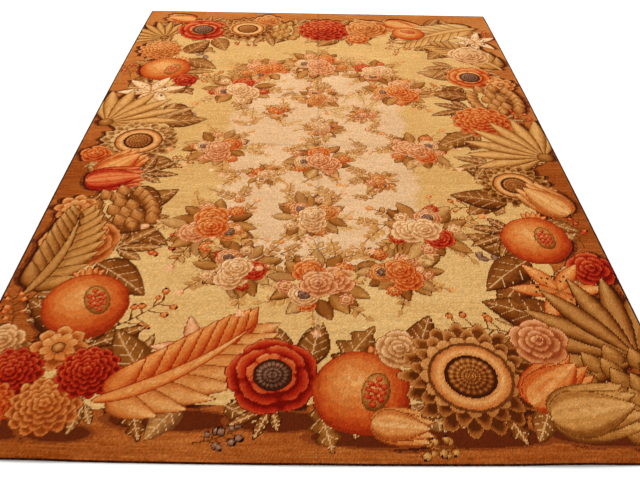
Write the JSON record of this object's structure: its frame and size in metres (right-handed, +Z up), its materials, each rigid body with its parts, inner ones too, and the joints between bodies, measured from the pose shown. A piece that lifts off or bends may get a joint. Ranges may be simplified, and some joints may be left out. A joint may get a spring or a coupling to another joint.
{
  "type": "needlepoint rug",
  "caption": "Rectangular needlepoint wool rug lying flat, with a dark whipped edge, softly bowed sides and pressed-in folds.",
  "frame": {"origin": "on the floor, at the middle of the rug's outline", "axes": "+X across the width, +Y along the length away from the near end, +Z up from the floor"},
  "size_m": [1.8566, 2.756, 0.008],
  "materials": {
    "worked_wool": "matte wool tent stitches in many colours, straw and cream grounds inside a caramel border",
    "whipped_edge": "matte wool whipped over the edge, very dark brown"
  },
  "bodies": {
    "root": {"needlepoint_cloth": "worked_wool", "binding_near": "whipped_edge", "binding_far": "whipped_edge", "binding_left": "whipped_edge", "binding_right": "whipped_edge"}
  },
  "joints": []
}
